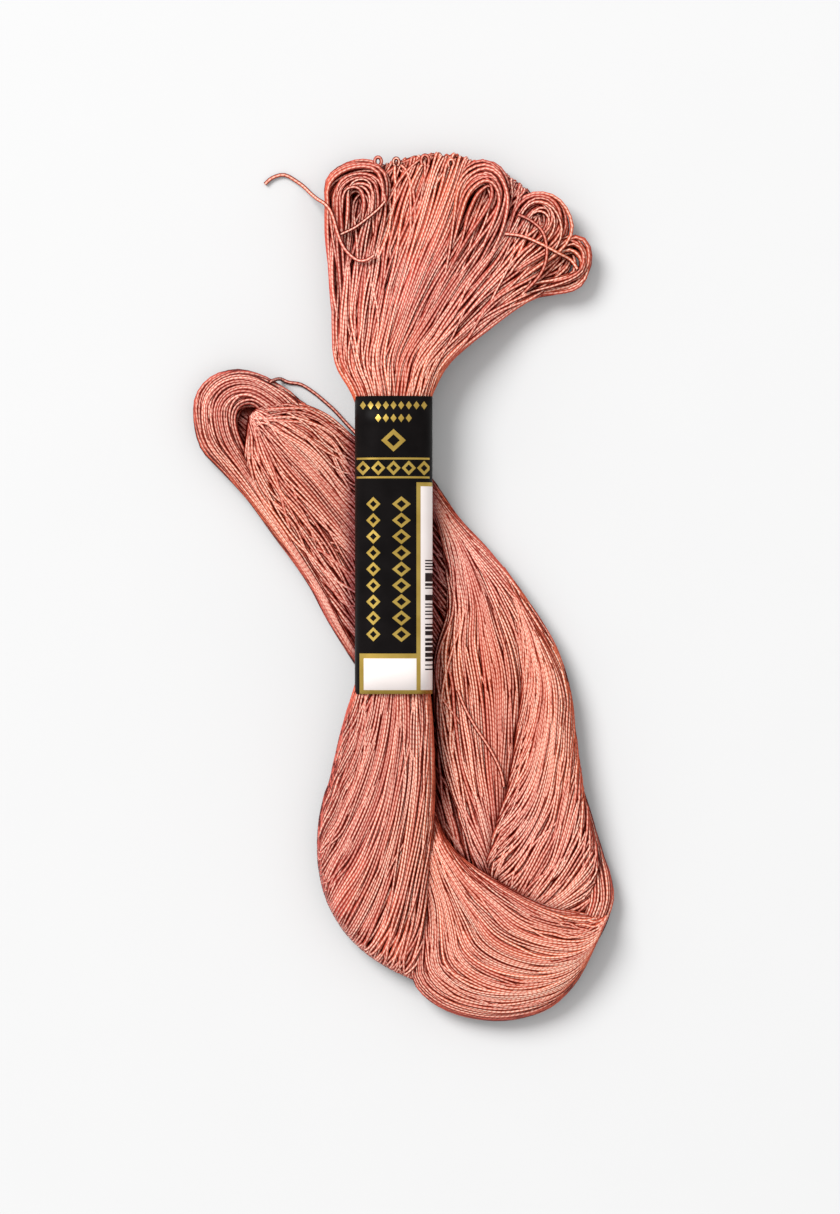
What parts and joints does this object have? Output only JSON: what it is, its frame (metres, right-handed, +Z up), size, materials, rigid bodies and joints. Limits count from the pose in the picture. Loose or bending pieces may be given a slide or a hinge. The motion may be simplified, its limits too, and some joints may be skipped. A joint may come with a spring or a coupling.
{
  "type": "hank of twisted embroidery thread with a paper band",
  "caption": "Hank of glossy coral embroidery thread, folded and twisted, held by a flat paper band, with its looped ends fanned out and a loose end.",
  "frame": {"origin": "under the middle of the hank's outline, on the surface it lies on", "axes": "+Y along the paper band, towards the fanned loop ends; +Z up from the surface; +X to the side of the twisted limb"},
  "size_m": [0.0868, 0.1769, 0.0141],
  "materials": {
    "cotton": "glossy mercerised cotton thread, coral pink",
    "paper": "coated paper printed black, gold and white"
  },
  "bodies": {
    "root": {"hank": "cotton", "paper_band": "paper", "loose_end": "cotton"}
  },
  "joints": []
}
